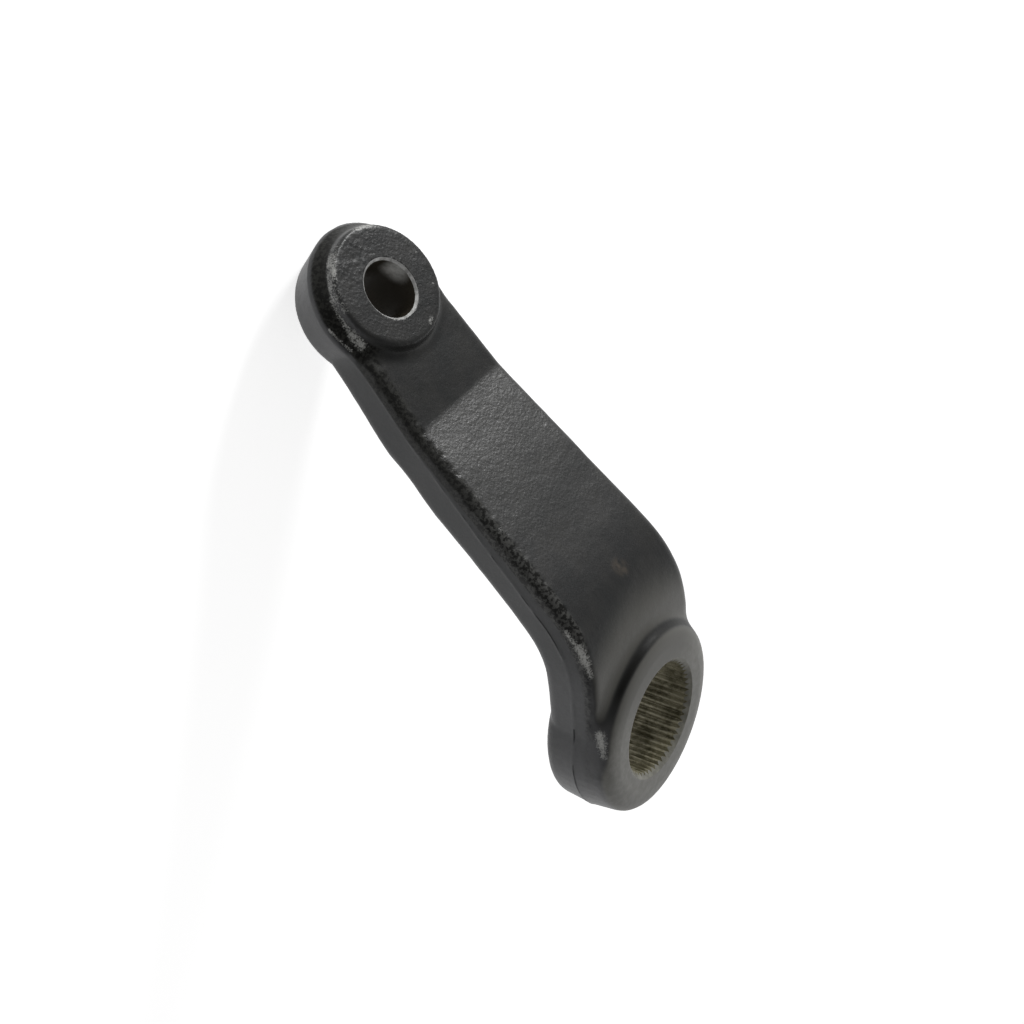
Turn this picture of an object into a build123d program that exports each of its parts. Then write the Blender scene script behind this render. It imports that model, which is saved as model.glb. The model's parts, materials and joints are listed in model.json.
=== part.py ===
from build123d import *
import os
from math import cos, radians, sin, sqrt, tan

# Drop arm of a steering linkage, forged in one piece and machined at both ends.
# The steering shaft's axis is Z and the hub's upper face is Z = 0. The arm reaches along +X and drops
# towards -Z, and its two flanks mirror each other in Y. Sizes are in millimetres and degrees.

# Layout of the two ends
REACH = 118.6  # shaft axis to the middle of the eye's face, square to the shaft
DROP = 71.2  # hub's upper face down to the middle of the eye's face
EYE_TILT = 37.0  # lean of the eye's axis from the shaft's axis

# Hub, the round end that is clamped on the steering shaft
HUB_RADIUS = 28.1  # at the parting line
HUB_HEIGHT = 20.6
HUB_STEP = 4.0  # its upper face stands this far above the arm's top
HUB_SEAT_RADIUS = 22.0  # flat ring round the bore
HUB_FACE_FALL = 0.8  # the face drops this much from the flat ring to the rim
HUB_RIM_ROUND = 3.6
HUB_BACK_ROUND = 2.9

# Serrated bore
SERRATION_COUNT = 54
BORE_MINOR_RADIUS = 15.9
BORE_MAJOR_RADIUS = 16.65
SERRATION_LAND = 0.55  # width of the land left on each tooth's tip
SERRATION_ROOT = 0.15  # width of each groove's flat root
BORE_MOUTH_RADIUS = 17.34

# Eye, the tilted end that takes the ball stud
EYE_RADIUS = 20.1  # at the parting line
EYE_BACK_RADIUS = 17.2
EYE_HEIGHT = 19.0
EYE_BODY_OFFSET = 0.3  # the eye's body lies this far outwards of its hole
EYE_FACE_OFFSET = 1.1  # and its raised face this far
EYE_STEP = 3.6  # its face stands this far above the arm's top
EYE_FACE_RADIUS = 16.6
EYE_RIM_ROUND = 0.9
EYE_BACK_ROUND = 2.4
EYE_SHOULDER_SHARE = 0.4  # how far the shoulder's top reaches from the face's foot to the parting line
STUD_HOLE_RADIUS = 7.8  # at the eye's upper face
STUD_TAPER = 1 / 16  # radius lost for each millimetre of depth
STUD_CHAMFER = 0.65

# Arm between the two ends
KNEE_REACH = 39.8  # shaft axis to the corner between the flat and the slope
KNEE_RADIUS = 35.0  # along the arm's top
CREASE_REACH = 33.4  # eye axis to the crease, along the eye's face
CREASE_RADIUS = 8.0
ARM_DEPTH_HUB = 15.4
ARM_DEPTH_KNEE = 16.7
ARM_DEPTH_EYE = 14.1
SLOPE_FULLNESS = 1.4  # the arm's underside swells by this much four fifths of the way down the slope
FLANK_INSET_HUB = 1.5  # the flank lies this far inside the hub's radius at the parting line
FLANK_INSET_EYE = 2.6  # the same at the eye
ARM_HALF_WIDTH_HUB = HUB_RADIUS - FLANK_INSET_HUB
ARM_HALF_WIDTH_EYE = EYE_RADIUS - FLANK_INSET_EYE
PARTING_DEPTH_HUB = 6.8  # parting line under the arm's top, at the hub
PARTING_DEPTH_EYE = 3.2  # the same at the eye
FLASH_LAND = 1.2  # height of the trimmed flash along the parting line
DRAFT = 5.0  # degrees
ROUND_FLATS = 3  # flats that make up each rounded corner, which keep the mesh light
ARM_TOP_ROUND = 2.4
ARM_BACK_ROUND = 3.0
HUB_BLEND = 16.0  # radius of the hollow blend from flank to hub
EYE_BLEND = 12.0  # the same at the eye

# Sections that the arm is lofted through
HUB_STATIONS = (0.3, 0.45, 0.55, 0.65, 0.8)  # shares of the flat beside the hub, closest in its blend
EYE_STATIONS = (0.75, 0.5, 0.4, 0.3, 0.2)  # shares of the neck, counted back from the eye
KNEE_STEPS = 5
SLOPE_STEPS = 4
CREASE_STEPS = 2

EYE_PLANE = Plane(
    origin=(REACH, 0, -DROP),
    x_dir=(cos(radians(EYE_TILT)), 0, -sin(radians(EYE_TILT))),
    z_dir=(sin(radians(EYE_TILT)), 0, cos(radians(EYE_TILT))),
)
DRAFT_SLOPE = tan(radians(DRAFT))


def arm_top_line():
    """The line along the middle of the arm's top, from the shaft's axis to the eye's."""
    knee = Vector(KNEE_REACH, 0, -HUB_STEP)
    crease = EYE_PLANE.from_local_coords(Vector(-CREASE_REACH, 0, -EYE_STEP))
    eye = EYE_PLANE.from_local_coords(Vector(0, 0, -EYE_STEP))
    start = Vector(0, 0, -HUB_STEP)
    return FilletPolyline(start, knee, crease, eye, radius=[KNEE_RADIUS, CREASE_RADIUS])


def mixed(first, last, share):
    """The value that lies this share of the way from first to last."""
    return first + (last - first) * min(max(share, 0), 1)


def flare(distance, blend, round_radius, half_width):
    """Width that a hollow blend adds to the flank, at a distance from the centre of the round end."""
    reach = sqrt((round_radius + blend) ** 2 - (half_width + blend) ** 2)
    touch = reach * round_radius / (round_radius + blend)
    inset = reach - min(max(distance, touch), reach)
    return (blend - sqrt(blend**2 - inset**2)) * min(distance / touch, 1)


def rounded(corners):
    """A closed face through the corners, each a point and its rounding radius, which flats stand for."""
    points = [Vector(*point) for point, _ in corners]
    outline = []
    for i, (_, radius) in enumerate(corners):
        if not radius:
            outline.append(points[i])
            continue
        before = (points[i - 1] - points[i]).normalized()
        after = (points[(i + 1) % len(points)] - points[i]).normalized()
        half_corner = radians(before.get_angle(after)) / 2
        centre = points[i] + (before + after).normalized() * radius / sin(half_corner)
        first = points[i] + before * radius / tan(half_corner) - centre
        last = points[i] + after * radius / tan(half_corner) - centre
        turn = first.get_signed_angle(last, Vector(0, 0, 1))
        for step in range(ROUND_FLATS + 1):
            outline.append(centre + first.rotate(Axis.Z, turn * step / ROUND_FLATS))
    return make_face(Polyline(*outline, close=True))


def section(top, ridge, back, depth, parting):
    """Cross-section of the arm, from three half-widths: widest at the flash land, rounded at its corners."""
    right = [
        ((top, 0), ARM_TOP_ROUND),
        ((ridge, -parting + FLASH_LAND / 2), 0),
        ((ridge, -parting - FLASH_LAND / 2), 0),
        ((back, -depth), ARM_BACK_ROUND),
    ]
    left = [((-x, y), radius) for (x, y), radius in reversed(right)]
    return rounded(right + left)


def arm():
    """The arm between its round ends, lofted through sections square to its top line."""
    line = arm_top_line()
    flat, knee, slope, crease, neck = line.edges().sort_by(Axis.X)
    knee_end = flat.length + knee.length
    crease_start = knee_end + slope.length
    stations = [flat.length * share for share in HUB_STATIONS]
    stations += [flat.length + knee.length * step / KNEE_STEPS for step in range(KNEE_STEPS + 1)]
    stations += [knee_end + slope.length * step / SLOPE_STEPS for step in range(1, SLOPE_STEPS + 1)]
    stations += [
        crease_start + crease.length * step / CREASE_STEPS for step in range(1, CREASE_STEPS + 1)
    ]
    stations += [line.length - neck.length * share for share in EYE_STATIONS]
    sections = []
    for station in stations:
        sloped = (station - knee_end) / slope.length
        width = mixed(ARM_HALF_WIDTH_HUB, ARM_HALF_WIDTH_EYE, station / line.length)
        width += flare(station, HUB_BLEND, HUB_RADIUS, ARM_HALF_WIDTH_HUB)
        ridge = width + flare(line.length - station, EYE_BLEND, EYE_RADIUS, ARM_HALF_WIDTH_EYE)
        depth = mixed(ARM_DEPTH_HUB, ARM_DEPTH_KNEE, station / knee_end)
        depth += mixed(0, ARM_DEPTH_EYE - ARM_DEPTH_KNEE, sloped)
        swell = mixed(0, 1, sloped) ** 3
        depth += SLOPE_FULLNESS * 4 * swell * (1 - swell)
        parting = mixed(PARTING_DEPTH_HUB, PARTING_DEPTH_EYE, sloped)
        top = width - DRAFT_SLOPE * (parting - FLASH_LAND / 2)
        back = width - DRAFT_SLOPE * (depth - parting - FLASH_LAND / 2)
        middle = line.position_at(station, position_mode=PositionMode.LENGTH)
        direction = line.tangent_at(station, position_mode=PositionMode.LENGTH)
        square = Plane(origin=middle, x_dir=(0, 1, 0), z_dir=direction)
        sections.append(square * section(top, ridge, back, depth, parting))
    return loft(sections)


def hub():
    """The round end on the shaft: a turned form with drafted walls and a rounded rim."""
    parting = HUB_STEP + PARTING_DEPTH_HUB
    rim = HUB_RADIUS - DRAFT_SLOPE * (parting - FLASH_LAND / 2)
    back = HUB_RADIUS - DRAFT_SLOPE * (HUB_HEIGHT - parting - FLASH_LAND / 2)
    profile = rounded(
        [
            ((0, 0), 0),
            ((HUB_SEAT_RADIUS, 0), 0),
            ((rim, -HUB_FACE_FALL), HUB_RIM_ROUND),
            ((HUB_RADIUS, -parting + FLASH_LAND / 2), 0),
            ((HUB_RADIUS, -parting - FLASH_LAND / 2), 0),
            ((back, -HUB_HEIGHT), HUB_BACK_ROUND),
            ((0, -HUB_HEIGHT), 0),
        ]
    )
    return revolve(Plane.XZ * profile, Axis.Z)


def eye():
    """The tilted round end: a raised face on a shoulder, with drafted walls below the parting line."""
    parting = EYE_STEP + PARTING_DEPTH_EYE
    foot = EYE_FACE_RADIUS + DRAFT_SLOPE * EYE_STEP
    shoulder = mixed(foot, EYE_RADIUS, EYE_SHOULDER_SHARE)
    face = rounded(
        [
            ((0, 0), 0),
            ((EYE_FACE_RADIUS, 0), EYE_RIM_ROUND),
            ((foot, -EYE_STEP), 0),
            ((shoulder, -parting), 0),
            ((0, -parting), 0),
        ]
    )
    body = rounded(
        [
            ((0, -EYE_STEP), 0),
            ((shoulder, -EYE_STEP), 0),
            ((EYE_RADIUS, -parting + FLASH_LAND / 2), 0),
            ((EYE_RADIUS, -parting - FLASH_LAND / 2), 0),
            ((EYE_BACK_RADIUS, -EYE_HEIGHT), EYE_BACK_ROUND),
            ((0, -EYE_HEIGHT), 0),
        ]
    )
    raised = Pos(EYE_FACE_OFFSET, 0, 0) * revolve(Plane.XZ * face, Axis.Z)
    return EYE_PLANE * (raised + Pos(EYE_BODY_OFFSET, 0, 0) * revolve(Plane.XZ * body, Axis.Z))


def serrated_bore():
    """What is cut out of the hub: a bore with a ring of straight grooves, chamfered at both mouths."""
    pitch = 2 * BORE_MINOR_RADIUS * sin(radians(180 / SERRATION_COUNT))
    mouth = pitch - SERRATION_LAND
    groove = Polyline(
        (0, -mouth / 2),
        (BORE_MINOR_RADIUS, -mouth / 2),
        (BORE_MAJOR_RADIUS, -SERRATION_ROOT / 2),
        (BORE_MAJOR_RADIUS, SERRATION_ROOT / 2),
        (BORE_MINOR_RADIUS, mouth / 2),
        (0, mouth / 2),
        close=True,
    )
    outline = Circle(BORE_MINOR_RADIUS) + PolarLocations(0, SERRATION_COUNT) * make_face(groove)
    cut = extrude(outline, amount=-HUB_HEIGHT)
    chamfer_depth = BORE_MOUTH_RADIUS - BORE_MINOR_RADIUS
    mouth_cone = Cone(
        BORE_MINOR_RADIUS, BORE_MOUTH_RADIUS, chamfer_depth, align=(Align.CENTER, Align.CENTER, Align.MAX)
    )
    return cut + mouth_cone + Pos(0, 0, -HUB_HEIGHT) * Rot(X=180) * mouth_cone


def stud_hole():
    """What is cut out of the eye: a hole that narrows downwards, chamfered at both mouths."""
    back_radius = STUD_HOLE_RADIUS - STUD_TAPER * EYE_HEIGHT
    outline = Polyline(
        (0, 0),
        (STUD_HOLE_RADIUS + STUD_CHAMFER, 0),
        (STUD_HOLE_RADIUS - STUD_TAPER * STUD_CHAMFER, -STUD_CHAMFER),
        (back_radius + STUD_TAPER * STUD_CHAMFER, STUD_CHAMFER - EYE_HEIGHT),
        (back_radius + STUD_CHAMFER, -EYE_HEIGHT),
        (0, -EYE_HEIGHT),
        close=True,
    )
    return EYE_PLANE * revolve(Plane.XZ * make_face(outline), Axis.Z)


def pitman_arm():
    """The whole forging, with both ends machined."""
    forging = arm() + hub() + eye()
    return forging - serrated_bore() - stud_hole()


os.makedirs("parts", exist_ok=True)
export_step(pitman_arm(), "parts/pitman_arm.step")
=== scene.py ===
import json
from math import cos, sin

import bmesh
import bpy
import numpy as np
from mathutils import Matrix, Vector


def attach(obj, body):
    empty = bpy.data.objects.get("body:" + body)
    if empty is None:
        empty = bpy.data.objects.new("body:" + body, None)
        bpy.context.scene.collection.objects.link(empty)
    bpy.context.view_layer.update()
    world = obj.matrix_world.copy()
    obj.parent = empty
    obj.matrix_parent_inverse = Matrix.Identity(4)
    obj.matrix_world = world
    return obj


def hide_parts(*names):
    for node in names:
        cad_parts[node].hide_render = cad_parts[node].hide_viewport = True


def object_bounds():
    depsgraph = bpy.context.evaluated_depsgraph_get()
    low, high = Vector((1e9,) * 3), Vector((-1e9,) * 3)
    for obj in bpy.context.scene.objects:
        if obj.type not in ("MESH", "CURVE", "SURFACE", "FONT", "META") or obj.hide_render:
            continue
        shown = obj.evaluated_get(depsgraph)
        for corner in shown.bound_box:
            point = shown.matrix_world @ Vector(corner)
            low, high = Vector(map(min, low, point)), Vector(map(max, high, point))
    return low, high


# A forged and painted drop arm. The shaft's axis is Z, the hub's upper face is Z = 0, and the arm drops
# towards +X to its tilted eye.

MM = 0.001
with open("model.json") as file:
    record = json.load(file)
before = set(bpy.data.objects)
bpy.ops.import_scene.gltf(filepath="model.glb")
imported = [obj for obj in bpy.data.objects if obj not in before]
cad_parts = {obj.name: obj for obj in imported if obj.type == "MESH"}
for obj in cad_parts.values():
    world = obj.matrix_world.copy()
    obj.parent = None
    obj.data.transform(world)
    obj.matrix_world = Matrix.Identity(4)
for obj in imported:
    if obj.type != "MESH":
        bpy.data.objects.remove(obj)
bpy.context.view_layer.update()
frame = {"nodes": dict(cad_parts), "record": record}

# Sizes that the frame states
mounts = {mount["name"]: mount for mount in frame["record"]["mounts"]}
BORE_RADIUS = mounts["shaft_bore"]["dims"]["r_mm"] * MM
STUD_RADIUS = mounts["stud_hole"]["dims"]["r_mm"] * MM
EYE_HEIGHT = mounts["stud_hole"]["dims"]["length_mm"] * MM
EYE_CENTRE = np.array(mounts["stud_hole"]["pos_m"])
EYE_AXIS = np.array(mounts["stud_hole"]["axis"]) / np.linalg.norm(mounts["stud_hole"]["axis"])
EYE_ALONG = np.array([EYE_AXIS[2], 0, -EYE_AXIS[0]])

# Sizes of the solid that the frame doesn't state
HUB_HEIGHT = 20.6 * MM
HUB_RADIUS = 28.1 * MM
HUB_STEP = 4.0 * MM  # the hub's face stands this far above the arm's top
EYE_STEP = 3.6 * MM
EYE_FACE_OFFSET = 1.1 * MM  # the eye's raised face lies this far outwards of its hole
KNEE_REACH = 39.8 * MM
KNEE_RADIUS = 35 * MM
CREASE_REACH = 33.4 * MM
CREASE_RADIUS = 8 * MM
CREASE_STATION = 109 * MM  # length along the arm's top, from the shaft's axis
SLOPE_STATIONS = (60 * MM, 90 * MM)  # two places on the straight slope
PARTING_DEPTH_HUB = 6.8 * MM  # parting line under the arm's top
PARTING_DEPTH_EYE = 3.2 * MM
PARTING_RISE = (55 * MM, 110 * MM)  # the parting line rises between these stations
SERRATION_COUNT = 54
SERRATION_LAND = 0.55 * MM
SERRATION_ROOT = 0.15 * MM
GROOVE_RADIUS = 16.65 * MM
BORE_FLARE = 1.44 * MM
STUD_TAPER = 1 / 16
STUD_CHAMFER = 0.65 * MM

# Cutting and closing the holes
HUB_PLUG_RADIUS = 19.5 * MM
EYE_PLUG_RADIUS = 10.5 * MM
PLUG_SIDES = 96
BORE_SIDES = 216
STUD_SIDES = 120
OVERRUN = 1 * MM  # a cutter passes a face by this much
OVERLAP = 0.4 * MM  # a mouth's cone passes the bore's wall by this much

# The line along the middle of the arm's top
LINE_OVERRUN = 30 * MM
LINE_STEP = 0.5 * MM
ARC_POINTS = 25
NEAREST_BATCH = 20000

# Skin of the forging. Each layer of waves has a height and a size in millimetres, and its own seed.
SEED = 11
WELD = 0.001 * MM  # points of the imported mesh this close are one
VOXEL = 0.56 * MM
SKIN_WAVES = ((0.13, 17, SEED), (0.03, 5.5, SEED + 1), (0.015, 2.0, SEED + 2))
CORNER_WAVES = ((0.15, 2.1, SEED + 3), (0.08, 4.5, SEED + 4))
FLASH_SEED = SEED + 5
RIM_SEED = SEED + 7
MACHINED_CALM = 0.85  # share of the waves that the hub's machined ring lacks
FLASH_HEIGHT = 0.26 * MM
FLASH_RAGGED_SIZE = 3.2 * MM
FLASH_RAGGED = (0.6, 0.5)  # mean share of its height, and how far noise takes it up or down
FLASH_LIMITS = (0.1, 1.2)
FIRST_SMOOTHING = 0.5
FILLET_ROUNDS = 30
EYE_FILLET_SHARE = 0.8
# Swell of the arm's back: reach from the shaft's axis and height, in millimetres
BACK_SWELL = ((64, 0), (70, 0.3), (75, 0.85), (80, 1.3), (86, 1.25), (92, 0.95), (98, 0.45), (104, 0))

# Whole numbers that scatter the corners of the noise's lattice
PLACE_PRIMES = (73856093, 19349663, 83492791)
SEED_PRIME = 2654435761
SCATTER = 1274126177
WORD = 0xFFFFFFFF
HALF_WORD = 0xFFFF
NOISE_GAIN = 1.6

# Ridges: middle and half width, in millimetres
HUB_FOOT_RADIUS = (28.0, 4.5)
HUB_FOOT_LEVEL = (-4.2, 4.0)
EYE_FOOT_RADIUS = (17.3, 3.6)
EYE_FOOT_LEVEL = (-3.4, 3.0)
EYE_MERGING_RADIUS = (18.0, 6.0)
EYE_MERGING_LEVEL = (-3.0, 4.0)
FLASH_LEVEL = (0, 0.75)
TIP_RADIUS = (16.1, 1.4)
# The same on the turn round the eye, in radians
RIM_TURN = (0.9, 1.1)
TIP_TURN = (-0.32, 0.5)

# Fades: where each begins and where it is full, in millimetres
MERGING_ALONG = (-4, -12)
BACK_LEVEL = (-5, -13)
MACHINED_RADIUS = (27.6, 25.0)
MACHINED_LEVEL = (-1.6, -0.6)
TOWARDS_ARM = (-4, 8)
RING_EDGE = (0.5, -0.5)
RING_LEVEL = (-3.4, -1.9)
RING_DARKER_REACH = (6, 20)
SHOULDER_RADIUS = (15.8, 16.8)
SHOULDER_LOW = (-6.0, -5.5)
SHOULDER_HIGH = (-1.8, -2.6)
SHOULDER_ALONG = (-13, -9)
GLINT_BRIGHTER_STATION = (96, 76)
NECK_STATION = (-1, 1)  # from the crease
VALLEY_INSIDE = (25.9, 26.6)
VALLEY_OUTSIDE = (28.4, 27.0)
VALLEY_SIDE = (23, 15)
VALLEY_DEEPER_SIDE = (-4, 6)
VALLEY_HIGH = (-0.7, -1.2)
VALLEY_LOW = (-5.6, -4.4)
NEAR_HUB_RADIUS = (44, 33)
DUST_AND_SHEEN_END = (0.8, -0.8)  # from the crease
DUST_AND_SHEEN_START = (-48, -4)  # from the crease
DUST_AND_SHEEN_LEVEL = (-1.5, -0.5)
SEAM_START = (36, 46)
SEAM_END = (100, 88)
EYE_WALL_LEVEL = (-5.4, -6.2)
EYE_WALL_ALONG = (-12, -2)
HUB_WALL_RADIUS = (46, 34)
EYE_FACE_RADIUS = (18, 16.5)
EYE_FACE_LEVEL = (-1.5, -0.5)
RIM_INSIDE = (14.9, 16.0)
RIM_OUTSIDE = (17.6, 17.0)
RIM_LEVEL = (-2.7, -1.9)
TIP_LEVEL = (-1.4, -0.9)
EDGE_PAST_HUB = (-1.5, 1.5)  # from the hub's rim
EDGE_BEFORE_EYE = (-8, -12)
EDGE_WIDER = (28, 46)
EDGE_DARKER = (30, 44)
EDGE_SIDE = (-6, 8)
EDGE_INSET = (0.6, -0.4)
EDGE_LOW = (-3.7, -3.1)

# Shares and places of the finishes
RING_RADIUS = 27.6 * MM
RING_NARROWER = 1.6 * MM  # on the arm's side
EYE_START = -14 * MM  # along the arm from the eye's axis
RIM_MARGIN = 1 * MM  # the hub's own finishes end this far past its rim
NECK_RADIUS = 90 * MM
NEAR_HUB_TOP = -2 * MM
VALLEY_LEAST = 0.55
SEAM_GAP_LIMIT = 3
PEBBLES_LEAST = 0.36
PEBBLES_ON_FACE = 0.5
RIM_WEAR = 0.85
RIM_PATCH_SIZE = 2.6 * MM
RIM_PATCHES = (0.78, 0.6)  # mean share of the wear, and how far noise takes it up or down
EDGE_SLOTS = 80
EDGE_SLOT = 2 * MM
EDGE_LEAST_HALF_WIDTH = 17 * MM
EDGE_BODY = (-9 * MM, -2 * MM)  # the flank between these levels is where the arm is widest
EDGE_WIDTH_AT_HUB = 0.9 * MM
EDGE_WIDTH_GAIN = 3.0 * MM
EDGE_SHARE_AT_HUB = 0.7
EDGE_SHARE_FAR_SIDE = 0.08
EDGE_TOP = 1 * MM
# How upright or level a surface is where a finish begins and where it is full
FLASH_UPRIGHT = (0.6, 0.9)
FLANK_UPRIGHT = (0.75, 0.93)
WALL_UPRIGHT = (0.6, 0.85)
NECK_FACING = (0.6, 0.85)
NEAR_HUB_LEVEL = (0.7, 0.95)

# Worn places, each a straight run in millimetres, its reach and how worn it is
SCUFFS = (
    ((44.7, 23.1, -12.1), (40.5, 23.1, -8.5), 1.3, 0.8),
    ((40.5, 23.1, -8.5), (36.0, 23.2, -6.5), 2.2, 1.0),
    ((36.0, 23.2, -6.5), (32.5, 23.3, -5.5), 1.6, 0.8),
    ((13.7, 24.4, -3.9), (7.5, 25.9, -2.1), 2.0, 0.8),
    ((13.0, 24.4, -3.7), (10.5, 25.2, -3.0), 2.4, 1.0),
    ((122.4, 16.0, -77.1), (119.5, 16.7, -75.0), 1.1, 0.8),
    ((119.5, 16.7, -75.0), (116.6, 16.8, -73.2), 1.2, 0.82),
    ((116.6, 16.8, -73.2), (114.1, 16.3, -71.8), 1.5, 0.9),
    ((114.1, 16.5, -71.9), (110.9, 15.9, -70.1), 2.3, 1.0),
    ((116.0, 19.7, -76.4), (110.3, 18.2, -71.6), 0.8, 0.85),
    ((114.1, -12.6, -67.8), (114.1, -12.6, -67.8), 0.8, 0.8),
    ((121.2, -14.1, -73.2), (121.2, -14.1, -73.2), 0.8, 0.8),
    ((108.3, -3.9, -63.5), (108.7, -5.2, -63.8), 1.0, 0.7),
)
# Small blisters in the paint of the eye's face, and a rusty stain on the slope
BUBBLES = ((129.0, 2.0, -79.2), (126.0, 7.0, -76.8), 9.0)
STAIN = ((46.3, -3.7, -11.1), (47.3, -3.0, -11.8), 3.2)
STUD_HIGHLIGHT_SPOT = (0.1192, -0.0071, -0.0751)  # middle of the painted highlight inside the stud hole
STUD_HIGHLIGHT_REACH = (0.3 * MM, 5.0 * MM)

# Faces of the holes: how far each finish reaches, and how level its faces may be
GROOVES_END = 16.8 * MM
BORE_WALL_LEVEL = 0.35
MOUTH_END = 17.42 * MM
STUD_EDGE_REACH = 0.62 * MM
STUD_WALL_LEVEL = 0.4

# Colours of the paint, from clean to dusty, dirty and worn, with painted light, shade and glints among them
PAINT_DEEP = (0.013, 0.014, 0.014, 1)
PAINT = (0.021, 0.021, 0.020, 1)
# Painted light: the upright flanks a little lighter and cooler
FLANK_PAINTED_LIGHT = (0.024, 0.025, 0.027, 1)
# Dust with a painted sheen, on the slope near the crease
SLOPE_DUST_AND_SHEEN = (0.045, 0.045, 0.043, 1)
# Painted light on the upward-facing top round the hub
HUB_TOP_PAINTED_LIGHT = (0.082, 0.080, 0.070, 1)
# Painted light on the walls of the hub and the eye
WALL_PAINTED_LIGHT = (0.075, 0.076, 0.079, 1)
# Dirt and painted shade on the rough corner, and painted glints in it, brighter towards the hub
EDGE_DIRT_AND_SHADE = (0.005, 0.005, 0.004, 1)
EDGE_PAINTED_GLINT = (0.030, 0.030, 0.027, 1)
EDGE_PAINTED_GLINT_BRIGHTER = (0.070, 0.070, 0.066, 1)
# Painted shade in the hollow of the eye's shoulder and in the groove at the hub's foot, with a mottle for
# the shoulder
PAINTED_SHADE = (0.006, 0.006, 0.005, 1)
SHOULDER_SHADE_MOTTLE = (0.028, 0.028, 0.025, 1)
SEAM_DIRT = (0.006, 0.006, 0.006, 1)
RUST = (0.14, 0.11, 0.08, 1)
RING_DULL = (0.178, 0.175, 0.159, 1)
RING_PALE = (0.218, 0.215, 0.198, 1)
# The ring's colour where it is darker, towards the arm
RING_DARKER = (0.118, 0.116, 0.104, 1)
SCUFFED = (0.50, 0.50, 0.48, 1)
# Colours of the holes, with painted shade and a painted highlight inside the stud hole
OIL_DARK = (0.12, 0.11, 0.065, 1)
OIL_PALE = (0.32, 0.30, 0.215, 1)
MOUTH_DARK = (0.15, 0.147, 0.125, 1)
MOUTH_PALE = (0.25, 0.245, 0.21, 1)
# Oily steel, darkened further as painted shade inside the stud hole, and a near-white painted highlight
STUD_OIL_AND_SHADE = (0.052, 0.045, 0.034, 1)
STUD_PAINTED_HIGHLIGHT = (0.95, 0.95, 0.93, 1)
STUD_EDGE_DULL = (0.34, 0.34, 0.33, 1)
STUD_EDGE_BRIGHT = (0.60, 0.60, 0.59, 1)

# Grain of the finishes: size, detail and roughness of each noise
PEBBLES = (0.78 * MM, 1.5, 0.55)
LUMPS = (1.7 * MM, 0.0, 0.5)
GRIT = (0.38 * MM, 1.0, 0.5)
PATCHES = (2.2 * MM, 3.0, 0.6)
CLOUD = (9 * MM, 3.0, 0.55)
SCRATCHES = (0.45 * MM, 3.0, 0.65)
SPECKS = (0.95 * MM, 2.0, 0.6)
BROACH_FILM = (4.5 * MM, 4.0, 0.65)
BROACH_MARKS = (0.6 * MM, 2.0, 0.5)
MOUTH_FILM = (2.5 * MM, 3.0, 0.6)
STUD_HIGHLIGHT_GRAIN = (1.5 * MM, 2.0, 0.5)
STUD_EDGE_FILM = (1.5 * MM, 2.0, 0.6)
BEAD_SIZE = 1.5 * MM

# Bumps, roughness and shine
PAINT_BUMP = 0.09 * MM
BROACH_BUMP = 0.06 * MM
GRIT_SHARE = 0.12
LUMP_SHARE = 0.4
BEAD_SHARE = -2.2
CALM_BUMP = 0.3  # on the flanks
MACHINED_BUMP = 0.2
PAINT_ROUGHNESS = (0.34, 0.42)
EDGE_ROUGHNESS = 0.3
RING_ROUGHNESS = 0.5
PAINT_SHINE = 0.5
DULL_SHINE = 0.12

# Photograph's viewpoint: its place, and its right, up and backward directions
CAMERA_PLACE = (0.34242, 0.30230, 0.19223)
CAMERA_AXES = (
    (-0.101953, -0.547352, 0.830669),
    (0.794982, -0.546791, -0.262723),
    (0.598004, 0.633582, 0.490882),
)
SENSOR_WIDTH = 36
LENS = 63.28
CLIP_START = 0.01

# Studio: a soft key lamp, placed by the camera's directions, and a world that is brighter behind the object
KEY_DIRECTION = (0.52, 0.84, 0.16)
KEY_TARGET = (0.055, 0, -0.035)
KEY_DISTANCE = 0.8
KEY_SIZE = 0.20
KEY_POWER = 3.9
WORLD_BEHIND = 1.0
WORLD_BEFORE = 0.26
WORLD_TURN = (-0.75, 0.15)
WHITE = (1, 1, 1, 1)
FLOOR_COLOUR = (0.8, 0.8, 0.8, 1)
FLOOR_SEEN = 0.72
FLOOR_MIRRORED = 0.55
FLOOR_HALF_SIZE = 3.0
FLOOR_GAP = 0.2 * MM


def smoothstep(low, high, value):
    share = np.clip((value - low) / (high - low), 0, 1)
    return share * share * (3 - 2 * share)


def fade(value, span):
    """0 before the span, 1 after it. The span is in millimetres."""
    return smoothstep(span[0] * MM, span[1] * MM, value)


def band(value, middle, half):
    """1 at the middle, falling smoothly to 0 at half a width on either side."""
    return 1 - smoothstep(0, half, np.abs(value - middle))


def ridge(value, crest):
    """A band whose middle and half width are in millimetres."""
    return band(value, crest[0] * MM, crest[1] * MM)


def mixed(first, last, share):
    return first + (last - first) * share


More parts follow.
